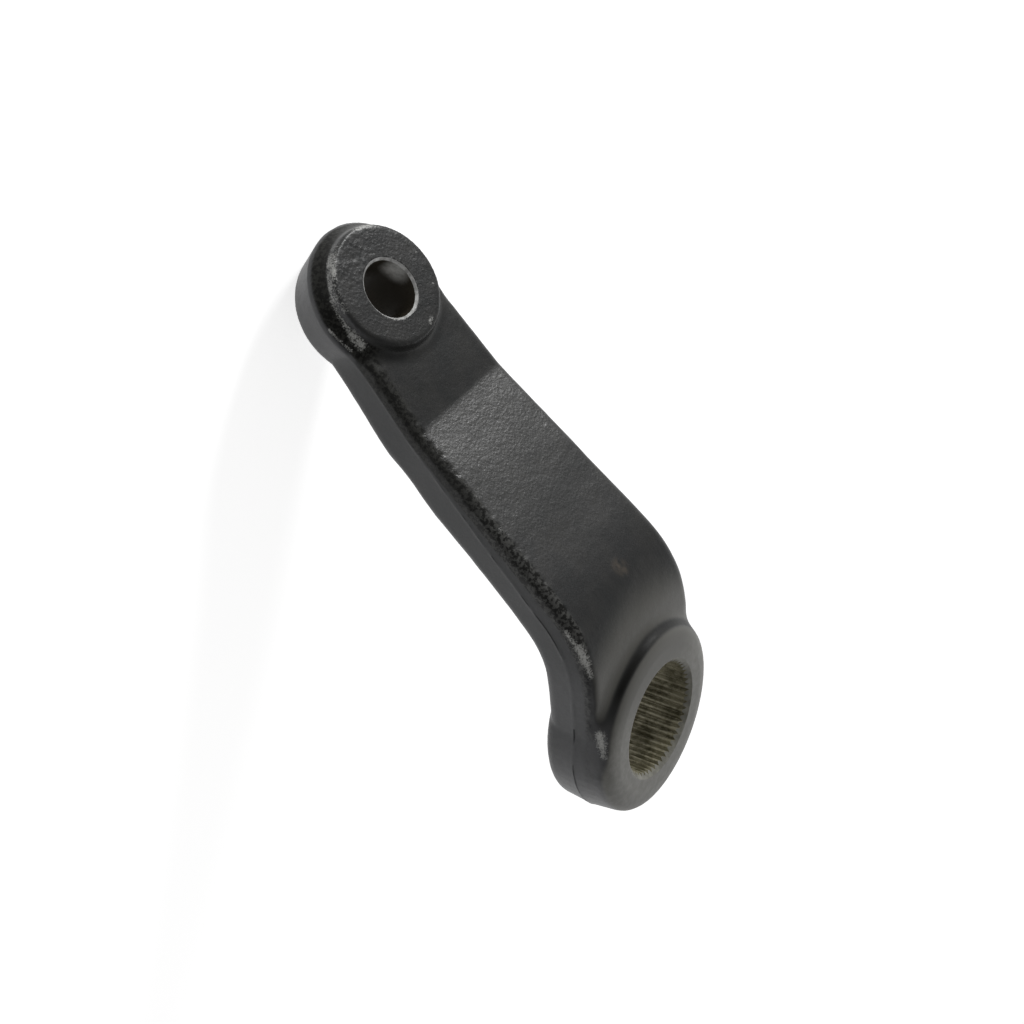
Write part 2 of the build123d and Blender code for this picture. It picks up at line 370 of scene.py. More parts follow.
def lattice_noise(points, size, seed):
    """Smooth noise from -1 to 1 at the points, with features of about the size."""
    spots = points / size
    cell = np.floor(spots).astype(np.int64)
    part = spots - cell
    ease = part * part * part * (part * (part * 6 - 15) + 10)
    total = np.zeros(len(points))
    for corner in np.ndindex(2, 2, 2):
        at = cell + corner
        x, y, z = (at[:, axis] * PLACE_PRIMES[axis] for axis in range(3))
        mix = x ^ y ^ z ^ seed * SEED_PRIME
        mix = (mix ^ (mix >> 13)) * SCATTER & WORD
        mix = (mix ^ (mix >> 16)) & WORD
        turn = (mix & HALF_WORD) / (HALF_WORD + 1) * 2 * np.pi
        lift = (mix >> 16) / ((HALF_WORD + 1) / 2) - 1
        flat = np.sqrt(np.maximum(1 - lift * lift, 0))
        slope = np.stack([flat * np.cos(turn), flat * np.sin(turn), lift], 1)
        weight = np.prod(np.where(corner, ease, 1 - ease), axis=1)
        total += weight * np.sum(slope * (part - corner), axis=1)
    return total * NOISE_GAIN


def waves(points, layers):
    """Layers of noise on top of each other, in metres."""
    return sum(height * MM * lattice_noise(points, size * MM, seed) for height, size, seed in layers)


def new_object(name, data):
    piece = bpy.data.objects.new(name, data)
    bpy.context.scene.collection.objects.link(piece)
    return piece


def object_from(name, shape):
    """An object that holds the bmesh shape, which is freed."""
    mesh = bpy.data.meshes.new(name)
    shape.to_mesh(mesh)
    shape.free()
    return new_object(name, mesh)


def turned(name, profile, matrix, sides):
    """A closed solid turned from (radius, height) points about its Z axis, placed by the matrix."""
    shape = bmesh.new()
    rings = []
    for radius, height in profile:
        if radius == 0:
            rings.append([shape.verts.new(matrix @ Vector((0, 0, height)))])
            continue
        angles = [2 * np.pi * step / sides for step in range(sides)]
        rings.append(
            [shape.verts.new(matrix @ Vector((radius * cos(a), radius * sin(a), height))) for a in angles]
        )
    for low, high in zip(rings, rings[1:]):
        for i in range(sides):
            j = (i + 1) % sides
            corners = [low[i % len(low)], low[j % len(low)], high[j % len(high)], high[i % len(high)]]
            shape.faces.new(list(dict.fromkeys(corners)))
    bmesh.ops.recalc_face_normals(shape, faces=shape.faces)
    return object_from(name, shape)


def join_or_cut(piece, tools, operation):
    """Give the piece one boolean modifier for each tool."""
    for tool in tools:
        step = piece.modifiers.new(tool.name, "BOOLEAN")
        step.operation = operation
        step.object = tool
        step.solver = "MANIFOLD"


def apply_modifiers(piece, tools):
    """Fix the piece's modifiers in its mesh, and drop the tools that they used."""
    graph = bpy.context.evaluated_depsgraph_get()
    made = bpy.data.meshes.new_from_object(piece.evaluated_get(graph), depsgraph=graph)
    piece.modifiers.clear()
    piece.data = made
    for tool in tools:
        bpy.data.objects.remove(tool)


def read_vectors(items, field):
    flat = np.empty(len(items) * 3)
    items.foreach_get(field, flat)
    return flat.reshape(-1, 3)


def points_of(mesh):
    return read_vectors(mesh.vertices, "co")


def normals_of(mesh):
    return read_vectors(mesh.vertex_normals, "vector")


def move_points(mesh, points):
    mesh.vertices.foreach_set("co", points.ravel())
    mesh.update()


def smoothed(mesh, points, amount, rounds):
    """Points moved towards their neighbours' mean, as far as the amount at each of them."""
    ends = np.empty(len(mesh.edges) * 2, dtype=np.int64)
    mesh.edges.foreach_get("vertices", ends)
    ends = ends.reshape(-1, 2)
    count = np.bincount(ends.ravel(), minlength=len(points))[:, None]
    for _ in range(rounds):
        total = np.zeros_like(points)
        for axis in range(3):
            total[:, axis] += np.bincount(ends[:, 0], points[ends[:, 1], axis], len(points))
            total[:, axis] += np.bincount(ends[:, 1], points[ends[:, 0], axis], len(points))
        points = points + (total / count - points) * amount[:, None]
    return points


def hub_radius(points):
    return np.hypot(points[:, 0], points[:, 1])


def eye_coordinates(points):
    """Along the arm, across it and out of the eye's face, from the middle of the stud hole's mouth."""
    offset = points - EYE_CENTRE
    return offset @ EYE_ALONG, offset[:, 1], offset @ EYE_AXIS


def top_line():
    """The middle of the arm's top as points in X and Z, with the length from the shaft's axis to each."""
    along, axis = EYE_ALONG[[0, 2]], EYE_AXIS[[0, 2]]
    end = EYE_CENTRE[[0, 2]] - EYE_STEP * axis
    corners = [
        (np.array([-LINE_OVERRUN, -HUB_STEP]), 0),
        (np.array([KNEE_REACH, -HUB_STEP]), KNEE_RADIUS),
        (end - CREASE_REACH * along, CREASE_RADIUS),
        (end + LINE_OVERRUN * along, 0),
    ]
    points = [corners[0][0]]
    for (before, _), (corner, round_radius), (after, _) in zip(corners, corners[1:], corners[2:]):
        back = (before - corner) / np.linalg.norm(before - corner)
        on = (after - corner) / np.linalg.norm(after - corner)
        half = np.arccos(back @ on) / 2
        centre = corner + (back + on) / np.linalg.norm(back + on) * round_radius / np.sin(half)
        first = corner + back * round_radius / np.tan(half) - centre
        last = corner + on * round_radius / np.tan(half) - centre
        for share in np.linspace(0, 1, ARC_POINTS):
            middle = first * (1 - share) + last * share
            points.append(centre + middle / np.linalg.norm(middle) * round_radius)
    points.append(corners[-1][0])
    points = np.array(points)
    lengths = np.concatenate([[0], np.cumsum(np.linalg.norm(np.diff(points, axis=0), axis=1))])
    even = np.arange(0, lengths[-1], LINE_STEP)
    line = np.stack([np.interp(even, lengths, points[:, axis]) for axis in range(2)], 1)
    return line, even - LINE_OVERRUN


def arm_coordinates(points):
    """How far along the arm's top line each point lies, and how far above it."""
    line, lengths = top_line()
    tangent = np.gradient(line, axis=0)
    tangent /= np.linalg.norm(tangent, axis=1)[:, None]
    flat = points[:, [0, 2]]
    nearest = np.empty(len(points), dtype=np.int64)
    for start in range(0, len(points), NEAREST_BATCH):
        part = flat[start : start + NEAREST_BATCH]
        gaps = ((part[:, None, :] - line[None, :, :]) ** 2).sum(2)
        nearest[start : start + NEAREST_BATCH] = gaps.argmin(1)
    offset = flat - line[nearest]
    above = -offset[:, 0] * tangent[nearest, 1] + offset[:, 1] * tangent[nearest, 0]
    return lengths[nearest], above


def parting_height(station):
    """Height of the parting line over the arm's top line."""
    start, end = PARTING_RISE
    share = np.clip((station - start) / (end - start), 0, 1)
    return -mixed(PARTING_DEPTH_HUB, PARTING_DEPTH_EYE, share)


def near_segment(points, first, last, reach):
    """1 on the straight run from first to last, both in millimetres, falling to 0 at the reach."""
    first, last = np.array(first) * MM, np.array(last) * MM
    run = last - first
    share = np.clip((points - first) @ run / max(run @ run, 1e-12), 0, 1)
    gap = np.linalg.norm(points - first - share[:, None] * run, axis=1)
    return np.clip(1 - gap / (reach * MM), 0, 1)


def flank_inset(points, station, above):
    """How far inside the arm's widest place at its station each point lies."""
    across = np.abs(points[:, 1])
    slot = np.clip((station / EDGE_SLOT).astype(np.int64), 0, EDGE_SLOTS - 1)
    body = (above > EDGE_BODY[0]) & (above < EDGE_BODY[1])
    widest = np.full(EDGE_SLOTS, EDGE_LEAST_HALF_WIDTH)
    np.maximum.at(widest, slot[body], across[body])
    middles = (np.arange(EDGE_SLOTS) + 0.5) * EDGE_SLOT
    return np.interp(station, middles, widest) - across


def edge_band(points, station, above):
    """The rough corner along both sides of the arm's top, as far as a few millimetres down its flanks."""
    past_hub = fade(hub_radius(points) - HUB_RADIUS, EDGE_PAST_HUB)
    before_eye = fade(eye_coordinates(points)[0], EDGE_BEFORE_EYE)
    width = EDGE_WIDTH_GAIN * fade(station, EDGE_WIDER) + EDGE_WIDTH_AT_HUB
    darker = mixed(EDGE_SHARE_AT_HUB, 1, fade(station, EDGE_DARKER))
    side = mixed(EDGE_SHARE_FAR_SIDE, 1, fade(points[:, 1], EDGE_SIDE))
    inside = fade(flank_inset(points, station, above) - width, EDGE_INSET)
    level = fade(above, EDGE_LOW) * (above < EDGE_TOP)
    return past_hub * before_eye * side * darker * inside * level


def eye_matrix():
    turn = Matrix((tuple(EYE_ALONG), (0, 1, 0), tuple(EYE_AXIS))).transposed().to_4x4()
    return Matrix.Translation(Vector(EYE_CENTRE)) @ turn


def plug(name, radius, depth, matrix):
    """A round plug that closes a hole from its face down to the depth."""
    return turned(name, [(0, 0), (radius, 0), (radius, -depth), (0, -depth)], matrix, PLUG_SIDES)


def forged_blank():
    """The arm with both holes closed, on an even grid of small faces."""
    source = frame["nodes"]["pitman_arm"]
    blank = new_object("forged_arm", source.data.copy())
    blank.matrix_world = source.matrix_world.copy()
    shape = bmesh.new()
    shape.from_mesh(blank.data)
    bmesh.ops.remove_doubles(shape, verts=shape.verts, dist=WELD)
    shape.to_mesh(blank.data)
    shape.free()
    plugs = (
        plug("hub_plug", HUB_PLUG_RADIUS, HUB_HEIGHT, Matrix()),
        plug("eye_plug", EYE_PLUG_RADIUS, EYE_HEIGHT, eye_matrix()),
    )
    join_or_cut(blank, plugs, "UNION")
    grid = blank.modifiers.new("grid", "REMESH")
    grid.mode = "VOXEL"
    grid.voxel_size = VOXEL
    apply_modifiers(blank, plugs)
    return blank


def fillet_amount(points, radius, eye_radius, along, out):
    """How hollow the fillets are where the hub and the eye rise from the arm."""
    hub_foot = ridge(radius, HUB_FOOT_RADIUS) * ridge(points[:, 2], HUB_FOOT_LEVEL)
    hub_foot *= points[:, 0] > 0
    eye_foot = ridge(eye_radius, EYE_FOOT_RADIUS) * ridge(out, EYE_FOOT_LEVEL)
    merging = fade(along, MERGING_ALONG)
    merging *= ridge(eye_radius, EYE_MERGING_RADIUS) * ridge(out, EYE_MERGING_LEVEL)
    return np.maximum(hub_foot, np.maximum(eye_foot * EYE_FILLET_SHARE, merging))


def fuller_back(points):
    """The shallow swell of the arm's back, from the slope's lower half to the crease."""
    line, lengths = top_line()
    first, last = (line[np.searchsorted(lengths, station)] for station in SLOPE_STATIONS)
    down = (last - first) / np.linalg.norm(last - first)
    reach, height = np.array(BACK_SWELL).T * MM
    swell = np.interp(points[:, 0], reach, height) * fade(arm_coordinates(points)[1], BACK_LEVEL)
    return swell[:, None] * np.array([down[1], 0, -down[0]])


def flash_amount(points, normals, radius, along, out, station, above):
    """The ragged flash left along the parting line, on the arm's flanks and on both round ends."""
    on_arm = (radius > HUB_RADIUS + RIM_MARGIN) & (along < EYE_START)
    on_round_end = np.where(
        along >= EYE_START,
        out + EYE_STEP + PARTING_DEPTH_EYE,
        points[:, 2] + HUB_STEP + PARTING_DEPTH_HUB,
    )
    gap = np.where(on_arm, above - parting_height(station), on_round_end)
    upright = smoothstep(*FLASH_UPRIGHT, np.hypot(normals[:, 0], normals[:, 1]))
    mean, swing = FLASH_RAGGED
    ragged = mean + swing * lattice_noise(points, FLASH_RAGGED_SIZE, FLASH_SEED)
    return ridge(gap, FLASH_LEVEL) * upright * np.clip(ragged, *FLASH_LIMITS)


def shape_skin(blank):
    mesh = blank.data
    points = points_of(mesh)
    radius = hub_radius(points)
    along, across, out = eye_coordinates(points)
    eye_radius = np.hypot(along - EYE_FACE_OFFSET, across)
    points = smoothed(mesh, points, np.full(len(points), FIRST_SMOOTHING), 1)
    fillets = fillet_amount(points, radius, eye_radius, along, out)
    points = smoothed(mesh, points, fillets, FILLET_ROUNDS)
    points = points + fuller_back(points)
    move_points(mesh, points)

    normals = normals_of(mesh)
    machined = fade(radius, MACHINED_RADIUS) * fade(points[:, 2], MACHINED_LEVEL)
    station, above = arm_coordinates(points)
    lift = waves(points, SKIN_WAVES) * (1 - MACHINED_CALM * machined)
    lift += edge_band(points, station, above) * waves(points, CORNER_WAVES)
    lift += FLASH_HEIGHT * flash_amount(points, normals, radius, along, out, station, above)
    move_points(mesh, points + normals * lift[:, None])


def groove_cutter():
    """The serrated bore as a solid with a star's outline."""
    tip = 2 * BORE_RADIUS * sin(np.pi / SERRATION_COUNT) - SERRATION_LAND
    outline = (
        (BORE_RADIUS, -tip / 2),
        (GROOVE_RADIUS, -SERRATION_ROOT / 2),
        (GROOVE_RADIUS, SERRATION_ROOT / 2),
        (BORE_RADIUS, tip / 2),
    )
    shape = bmesh.new()
    rings = []
    for height in (OVERRUN, -HUB_HEIGHT - OVERRUN):
        ring = []
        for tooth in range(SERRATION_COUNT):
            for radius, side in outline:
                angle = 2 * np.pi * tooth / SERRATION_COUNT + side / radius
                ring.append(shape.verts.new((radius * cos(angle), radius * sin(angle), height)))
        rings.append(ring)
    upper, lower = rings
    shape.faces.new(upper)
    shape.faces.new(list(reversed(lower)))
    for i in range(len(upper)):
        j = (i + 1) % len(upper)
        shape.faces.new((upper[i], lower[i], lower[j], upper[j]))
    bmesh.ops.recalc_face_normals(shape, faces=shape.faces)
    return object_from("groove_cutter", shape)


def mouth_cutter(name, face, outwards):
    """The cone at one mouth of the bore. Its face is at the height, and outwards is 1 or -1 along Z."""
    wide, narrow = BORE_RADIUS + BORE_FLARE + OVERRUN, BORE_RADIUS - OVERLAP
    outer, inner = face + outwards * OVERRUN, face - outwards * (BORE_FLARE + OVERLAP)
    return turned(name, [(0, outer), (wide, outer), (narrow, inner), (0, inner)], Matrix(), BORE_SIDES)


def stud_cutter():
    """The ball stud's tapered hole, with a chamfer at each mouth."""
    back_radius = STUD_RADIUS - EYE_HEIGHT * STUD_TAPER
    narrowing = STUD_TAPER * STUD_CHAMFER
    profile = [
        (0, OVERRUN),
        (STUD_RADIUS + STUD_CHAMFER + OVERRUN, OVERRUN),
        (STUD_RADIUS - narrowing, -STUD_CHAMFER),
        (back_radius + narrowing, STUD_CHAMFER - EYE_HEIGHT),
        (back_radius + STUD_CHAMFER + OVERRUN, -EYE_HEIGHT - OVERRUN),
        (0, -EYE_HEIGHT - OVERRUN),
    ]
    return turned("stud_cutter", profile, eye_matrix(), STUD_SIDES)


def cut_holes(blank):
    cutters = (
        groove_cutter(),
        mouth_cutter("upper_mouth", 0, 1),
        mouth_cutter("lower_mouth", -HUB_HEIGHT, -1),
        stud_cutter(),
    )
    join_or_cut(blank, cutters, "DIFFERENCE")
    apply_modifiers(blank, cutters)


def hub_regions(points, normals, radius):
    towards_arm = fade(points[:, 0], TOWARDS_ARM)
    ring = fade(radius - (RING_RADIUS - RING_NARROWER * towards_arm), RING_EDGE)
    # valley: the groove at the hub's foot, where painted shade goes
    valley = fade(radius, VALLEY_INSIDE) * fade(radius, VALLEY_OUTSIDE) * fade(points[:, 1], VALLEY_SIDE)
    valley *= mixed(VALLEY_LEAST, 1, fade(points[:, 1], VALLEY_DEEPER_SIDE))
    valley *= fade(points[:, 2], VALLEY_HIGH) * fade(points[:, 2], VALLEY_LOW)
    # near_hub: the upward-facing top round the hub, which is painted lighter as painted light
    near_hub = fade(radius, NEAR_HUB_RADIUS) * smoothstep(*NEAR_HUB_LEVEL, normals[:, 2])
    return {
        "ring": ring * fade(points[:, 2], RING_LEVEL),
        "ring_darker_to_arm": fade(points[:, 0], RING_DARKER_REACH),
        "valley": valley * towards_arm,
        "near_hub": near_hub * (points[:, 2] < NEAR_HUB_TOP),
    }


def arm_regions(points, normals, radius, station, above):
    upright = smoothstep(*WALL_UPRIGHT, np.abs(normals[:, 1]))
    on_hub = radius < HUB_RADIUS + RIM_MARGIN
    seam_gap = np.where(
        on_hub,
        points[:, 2] + HUB_STEP + PARTING_DEPTH_HUB,
        above - parting_height(station),
    )
    seam = np.maximum(fade(station, SEAM_START) * fade(station, SEAM_END), on_hub)
    neck = fade(station - CREASE_STATION, NECK_STATION) * smoothstep(*NECK_FACING, normals @ EYE_AXIS)
    # The slope from the crease down, lighter: partly dust and partly painted sheen
    dust_and_sheen = fade(station - CREASE_STATION, DUST_AND_SHEEN_END) * fade(station - CREASE_STATION, DUST_AND_SHEEN_START)
    return {
        "corner": edge_band(points, station, above),
        # Where the painted glints on the rough corner are brighter, towards the hub
        "glint_brighter": fade(station, GLINT_BRIGHTER_STATION),
        "neck": neck * (radius > NECK_RADIUS),
        "dust_and_sheen": dust_and_sheen * fade(above, DUST_AND_SHEEN_LEVEL),
        "flank": smoothstep(*FLANK_UPRIGHT, np.abs(normals[:, 1])),
        "seam_gap": np.clip(seam_gap / MM, -SEAM_GAP_LIMIT, SEAM_GAP_LIMIT),
        "seam": seam * upright,
        # walls: the hub's upright walls and the eye's lower wall, painted lighter as painted light
        "walls": upright * fade(radius, HUB_WALL_RADIUS),
    }


def worn_places(points, eye_radius, turn, out):
    """Rubbed places: the listed runs, and two stretches of the eye's rim."""
    worn = np.zeros(len(points))
    for first, last, reach, amount in SCUFFS:
        worn = np.maximum(worn, amount * near_segment(points, first, last, reach))
    rim = fade(eye_radius, RIM_INSIDE) * fade(eye_radius, RIM_OUTSIDE) * fade(out, RIM_LEVEL)
    mean, swing = RIM_PATCHES
    patchy = np.clip(mean + swing * lattice_noise(points, RIM_PATCH_SIZE, RIM_SEED), 0, 1)
    rim *= band(turn, *RIM_TURN) * patchy
    tip = band(turn, *TIP_TURN) * ridge(eye_radius, TIP_RADIUS) * fade(out, TIP_LEVEL)
    return np.maximum(worn, RIM_WEAR * np.maximum(rim, tip))


def mark_regions(mesh):
    """Where each finish, and each place of painted light and shade, lies, kept as numbers at the points for
    the materials to read.
    """
    points, normals = points_of(mesh), normals_of(mesh)
    radius = hub_radius(points)
    station, above = arm_coordinates(points)
    along, across, out = eye_coordinates(points)
    eye_radius = np.hypot(along - EYE_FACE_OFFSET, across)
    turn = np.arctan2(across, along - EYE_FACE_OFFSET)

    regions = hub_regions(points, normals, radius)
    regions.update(arm_regions(points, normals, radius, station, above))
    # shoulder: the hollow round the eye's face, where painted shade goes
    shoulder = fade(eye_radius, SHOULDER_RADIUS) * fade(along, SHOULDER_ALONG)
    regions["shoulder"] = shoulder * fade(out, SHOULDER_LOW) * fade(out, SHOULDER_HIGH)
    eye_wall = fade(out, EYE_WALL_LEVEL) * fade(along, EYE_WALL_ALONG)
    regions["walls"] = np.maximum(regions["walls"], eye_wall)
    face = fade(eye_radius, EYE_FACE_RADIUS) * fade(out, EYE_FACE_LEVEL)
    pebbles = mixed(PEBBLES_LEAST, 1, np.sqrt(regions["dust_and_sheen"]))
    regions["pebbly"] = pebbles + PEBBLES_ON_FACE * face
    regions["scuff"] = worn_places(points, eye_radius, turn, out)
    regions["bubbles"] = near_segment(points, *BUBBLES)
    regions["stain"] = near_segment(points, *STAIN)
    for name, values in regions.items():
        stored = mesh.attributes.new(name, "FLOAT", "POINT")
        stored.data.foreach_set("value", values.astype(np.float32))


class Nodes:
    """Short ways to build a material's node tree."""

    def __init__(self, name):
        self.material = bpy.data.materials.new(name)
        self.material.use_nodes = True
        self.tree = self.material.node_tree
        self.shader = self.tree.nodes["Principled BSDF"]
        self.place = self.add("ShaderNodeTexCoord").outputs["Object"]

    def add(self, kind, **settings):
        node = self.tree.nodes.new(kind)
        for key, value in settings.items():
            setattr(node, key, value)
        return node

    def link(self, value, socket):
        if isinstance(value, bpy.types.NodeSocket):
            self.tree.links.new(value, socket)
        else:
            socket.default_value = value

    def give(self, **values):
        """Set or link the shader's own sockets, with _ for a space in each name."""
        for key, value in values.items():
            self.link(value, self.shader.inputs[key.replace("_", " ")])

    def attributes(self, *names):
        return [self.add("ShaderNodeAttribute", attribute_name=name).outputs["Fac"] for name in names]

    def noise(self, size, detail, rough):
        node = self.add("ShaderNodeTexNoise")
        self.link(self.place, node.inputs["Vector"])
        for key, number in (("Scale", 1 / size), ("Detail", detail), ("Roughness", rough)):
            node.inputs[key].default_value = number
        return node.outputs["Fac"]

    def cells(self, size):
        node = self.add("ShaderNodeTexVoronoi", feature="SMOOTH_F1")
        self.link(self.place, node.inputs["Vector"])
        node.inputs["Scale"].default_value = 1 / size
        return node.outputs["Distance"]

    def distance_to(self, spot):
        node = self.add("ShaderNodeVectorMath", operation="DISTANCE")
        self.link(self.place, node.inputs[0])
        node.inputs[1].default_value = spot
        return node.outputs["Value"]

    def math(self, operation, *values):
        node = self.add("ShaderNodeMath", operation=operation)
        for value, socket in zip(values, node.inputs):
            self.link(value, socket)
        return node.outputs[0]

    def times(self, first, second):
        return self.math("MULTIPLY", first, second)

    def largest(self, first, *others):
        for other in others:
            first = self.math("MAXIMUM", first, other)
        return first

    def spread(self, value, low, high, start=0.0, end=1.0):
        node = self.add("ShaderNodeMapRange", interpolation_type="SMOOTHSTEP")
        self.link(value, node.inputs["Value"])
        for key, number in (("From Min", low), ("From Max", high), ("To Min", start), ("To Max", end)):
            node.inputs[key].default_value = number
        return node.outputs["Result"]

    def mix(self, share, first, second, kind="RGBA"):
        node = self.add("ShaderNodeMix", data_type=kind)
        for key, value in (("Factor", share), ("A", first), ("B", second)):
            self.link(value, node.inputs[key])
        return node.outputs["Result"]

    def blend(self, share, first, second):
        return self.mix(share, first, second, "FLOAT")

    def bump(self, height, distance, strength=1.0):
        node = self.add("ShaderNodeBump")
        self.link(height, node.inputs["Height"])
        self.link(distance, node.inputs["Distance"])
        self.link(strength, node.inputs["Strength"])
        return node.outputs["Normal"]


def painted_forging():
    """Black paint over the forging: dusty with a painted sheen on the slope, dirty and darkened as painted
    shade along its corners and hollows, lighter as painted light on its flanks, walls and hub top, and worn
    through in places.
    """
    make = Nodes("painted_forging")
    ring, ring_darker_to_arm, valley, near_hub = make.attributes("ring", "ring_darker_to_arm", "valley", "near_hub")
    corner, glint_brighter, neck, dust_and_sheen = make.attributes("corner", "glint_brighter", "neck", "dust_and_sheen")
    flank, seam, seam_gap, walls = make.attributes("flank", "seam", "seam_gap", "walls")
    shoulder, pebbly, scuff = make.attributes("shoulder", "pebbly", "scuff")
    bubbles, stain = make.attributes("bubbles", "stain")
    pebbles = make.noise(*PEBBLES)
    lumps = make.noise(*LUMPS)
    grit = make.noise(*GRIT)
    patches = make.noise(*PATCHES)
    cloud = make.noise(*CLOUD)
    scratches = make.noise(*SCRATCHES)
    specks = make.spread(make.noise(*SPECKS), 0.43, 0.59)

    # Paint, with dust and painted sheen on the slope, and painted light on the flanks, on the hub's top and
    # on the walls
    colour = make.mix(make.spread(cloud, 0.35, 0.65), PAINT_DEEP, PAINT)
    # Painted light: the upright flanks are a little lighter and cooler
    colour = make.mix(make.times(flank, 0.8), colour, FLANK_PAINTED_LIGHT)
    # Dust and painted sheen: the slope is lighter towards the crease
    colour = make.mix(make.times(dust_and_sheen, make.spread(pebbles, 0.3, 0.7, 0.6, 1.0)), colour, SLOPE_DUST_AND_SHEEN)
    # Painted light: the upward-facing top round the hub is lighter
    colour = make.mix(near_hub, colour, HUB_TOP_PAINTED_LIGHT)
    # Painted light: the walls of the hub and the eye are lighter, in patches
    colour = make.mix(make.times(walls, make.spread(patches, 0.3, 0.7, 0.75, 1.0)), colour, WALL_PAINTED_LIGHT)
    # Dirt and painted shade on the rough corner, with painted glints in it, and painted shade in the hollow
    # of the eye's shoulder
    # The rough corner: dirt darkened further as painted shade, with lighter specks as painted glints
    edge = make.mix(specks, EDGE_DIRT_AND_SHADE, make.mix(glint_brighter, EDGE_PAINTED_GLINT, EDGE_PAINTED_GLINT_BRIGHTER))
    colour = make.mix(make.times(corner, 0.92), colour, edge)
    # Painted shade, mottled, in the hollow of the eye's shoulder
    colour = make.mix(make.times(shoulder, 0.95), colour, make.mix(specks, PAINTED_SHADE, SHOULDER_SHADE_MOTTLE))
    # The hub's ring, darker towards the arm, and painted shade in the groove at its foot
    worn = make.mix(make.spread(patches, 0.35, 0.7), RING_DULL, RING_PALE)
    # The ring is darker towards the arm
    colour = make.mix(ring, colour, make.mix(ring_darker_to_arm, worn, RING_DARKER))
    # Painted shade in the groove at the hub's foot
    colour = make.mix(make.times(valley, 0.95), colour, PAINTED_SHADE)
    # Scuffs, the broken line of the parting, and a rusty stain
    rubbed = make.spread(make.math("MULTIPLY_ADD", scratches, 1.8, scuff), 1.15, 1.9)
    colour = make.mix(make.times(rubbed, make.spread(scuff, 0.02, 0.25)), colour, SCUFFED)
    line = make.spread(make.math("ABSOLUTE", seam_gap), 0.1, 0.42, 1.0, 0.0)
    broken = make.times(make.times(seam, line), make.spread(cloud, 0.40, 0.52))
    colour = make.mix(make.times(broken, 0.7), colour, SEAM_DIRT)
    rust = make.times(make.spread(stain, 0.0, 0.9), make.spread(lumps, 0.2, 0.65))
    colour = make.mix(make.times(rust, 0.38), colour, RUST)

    rough = make.blend(make.spread(grit, 0.3, 0.7), *PAINT_ROUGHNESS)
    rough = make.blend(corner, rough, EDGE_ROUGHNESS)
    rough = make.blend(make.largest(ring, valley), rough, RING_ROUGHNESS)
    dull = make.largest(make.times(corner, 0.5), valley, broken, shoulder, make.times(neck, 0.45))

    uneven = make.times(pebbles, make.spread(patches, 0.3, 0.65, 0.65, 1.15))
    height = make.math("MULTIPLY_ADD", lumps, LUMP_SHARE, uneven)
    height = make.math("MULTIPLY_ADD", grit, GRIT_SHARE, height)
    height = make.math("ADD", height, make.times(make.cells(BEAD_SIZE), make.times(bubbles, BEAD_SHARE)))
    strength = make.blend(flank, pebbly, CALM_BUMP)
    strength = make.blend(make.largest(ring, near_hub), strength, MACHINED_BUMP)

    shine = make.blend(dull, PAINT_SHINE, DULL_SHINE)
    bumps = make.bump(height, PAINT_BUMP, strength)
    make.give(Base_Color=colour, Roughness=rough, Specular_IOR_Level=shine, Normal=bumps)
    return make.material


def serrated_steel():
    """Bare broached steel with an olive film of oil."""
    make = Nodes("oiled_steel")
    film = make.spread(make.noise(*BROACH_FILM), 0.38, 0.62)
    marks = make.bump(make.noise(*BROACH_MARKS), BROACH_BUMP)
    make.give(Base_Color=make.mix(film, OIL_DARK, OIL_PALE), Metallic=0.35, Roughness=0.42, Normal=marks)
    return make.material


def chamfer_steel():
    """The oily cone at each mouth of the serrated bore."""
    make = Nodes("chamfer_steel")
    film = make.spread(make.noise(*MOUTH_FILM), 0.3, 0.7)
    make.give(Base_Color=make.mix(film, MOUTH_DARK, MOUTH_PALE), Metallic=0.2, Roughness=0.45)
    return make.material


def stud_bore_steel():
    """The ball stud's taper, dark with oil and darkened further as painted shade, with a painted highlight
    on one side near its mouth.
    """
    make = Nodes("stud_bore_steel")
    # A painted highlight, near white, round one spot inside the hole
    rubbed = make.spread(make.distance_to(STUD_HIGHLIGHT_SPOT), *STUD_HIGHLIGHT_REACH, 1.0, 0.0)
    rubbed = make.times(rubbed, make.spread(make.noise(*STUD_HIGHLIGHT_GRAIN), 0.2, 0.7, 0.6, 1.0))
    colour = make.mix(rubbed, STUD_OIL_AND_SHADE, STUD_PAINTED_HIGHLIGHT)
    make.give(Base_Color=colour, Roughness=0.4, Specular_IOR_Level=make.blend(rubbed, 0.05, 0.5))
    return make.material


def stud_edge_steel():
    """The bright chamfer round the stud hole."""
    make = Nodes("stud_edge_steel")
    film = make.spread(make.noise(*STUD_EDGE_FILM), 0.35, 0.65)
    make.give(Base_Color=make.mix(film, STUD_EDGE_DULL, STUD_EDGE_BRIGHT), Metallic=0.3, Roughness=0.4)
    return make.material


def give_materials(piece):
    mesh = piece.data
    mesh.materials.clear()
    for finish in (painted_forging, serrated_steel, chamfer_steel, stud_bore_steel, stud_edge_steel):
        mesh.materials.append(finish())
    centres = read_vectors(mesh.polygons, "center")
    facing = read_vectors(mesh.polygons, "normal")
    radius = hub_radius(centres)
    along, across, out = eye_coordinates(centres)
    in_bore = (radius < GROOVES_END) & (np.abs(facing[:, 2]) < BORE_WALL_LEVEL)
    in_mouth = (radius < MOUTH_END) & ~in_bore
    in_stud = (np.hypot(along, across) < STUD_RADIUS + STUD_EDGE_REACH) & (out > -EYE_HEIGHT - OVERRUN)
    on_stud_wall = in_stud & (np.abs(facing @ EYE_AXIS) < STUD_WALL_LEVEL)
    index = np.select([in_bore, in_mouth, on_stud_wall, in_stud], [1, 2, 3, 4], 0).astype(np.int32)
    mesh.polygons.foreach_set("material_index", index)
    mesh.polygons.foreach_set("use_smooth", index == 0)


